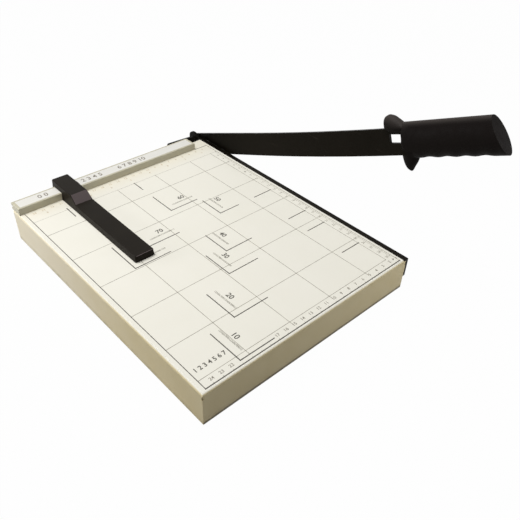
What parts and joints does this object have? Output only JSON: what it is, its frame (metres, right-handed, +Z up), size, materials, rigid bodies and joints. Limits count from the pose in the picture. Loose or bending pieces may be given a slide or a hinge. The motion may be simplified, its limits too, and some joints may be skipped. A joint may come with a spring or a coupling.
{
  "type": "guillotine paper trimmer",
  "caption": "Desk paper trimmer: a cream steel board with a fence and sliding paper stop, cut by a swinging blade arm with a moulded grip and hand guard.",
  "frame": {"origin": "middle of the footprint of the whole machine, on the surface that its feet stand on", "axes": "+X to the right towards the blade side, +Y from the user's front edge to the fence at the back, +Z up"},
  "size_m": [0.2646, 0.4098, 0.2018],
  "materials": {
    "board_paint": "satin cream paint with a printed grid",
    "plated_steel": "zinc plate",
    "screw_steel": "zinc plate",
    "fence_plastic": "satin olive-cream moulding",
    "label_film": "printed film",
    "black_paint": "semi-gloss black paint",
    "black_steel": "blackened",
    "spring_steel": "blued spring steel",
    "stop_plastic": "satin black moulding",
    "grip_plastic": "fine-grained black moulding",
    "foot_rubber": "matte"
  },
  "bodies": {
    "base": {"base_shell": "board_paint", "board_stiffener": "plated_steel", "backing_bar": "plated_steel", "fixed_blade": "black_paint", "fixed_blade_screws": "screw_steel", "fence_rail": "fence_plastic", "fence_label": "label_film", "fence_screws": "screw_steel", "pivot_bracket": "black_paint", "bracket_screws": "screw_steel", "bracket_nuts": "screw_steel", "foot_front_left": "foot_rubber", "foot_front_right": "foot_rubber", "foot_back_left": "foot_rubber", "foot_back_right": "foot_rubber", "pivot_bolt": "black_steel", "pivot_nut": "black_steel", "nut_washer": "black_steel", "friction_washer": "black_steel", "spring_washer": "spring_steel", "head_washer": "black_steel"},
    "arm": {"moving_blade": "black_paint", "grip_body": "grip_plastic", "grip_cover": "grip_plastic", "grip_end_cap": "grip_plastic", "grip_screws": "screw_steel"},
    "stop": {"paper_stop": "stop_plastic", "stop_spring": "spring_steel"}
  },
  "joints": [
    {"name": "blade_swing", "type": "hinge", "parent": "base", "child": "arm", "pos_m": [0.12215, 0.19619, 0.0278], "axis": [-1, 0, 0], "range_deg": [-18.6, 43]},
    {"name": "stop_slide", "type": "slide", "parent": "base", "child": "stop", "axis": [1, 0, 0], "range_m": [-0.045, 0.129]}
  ]
}
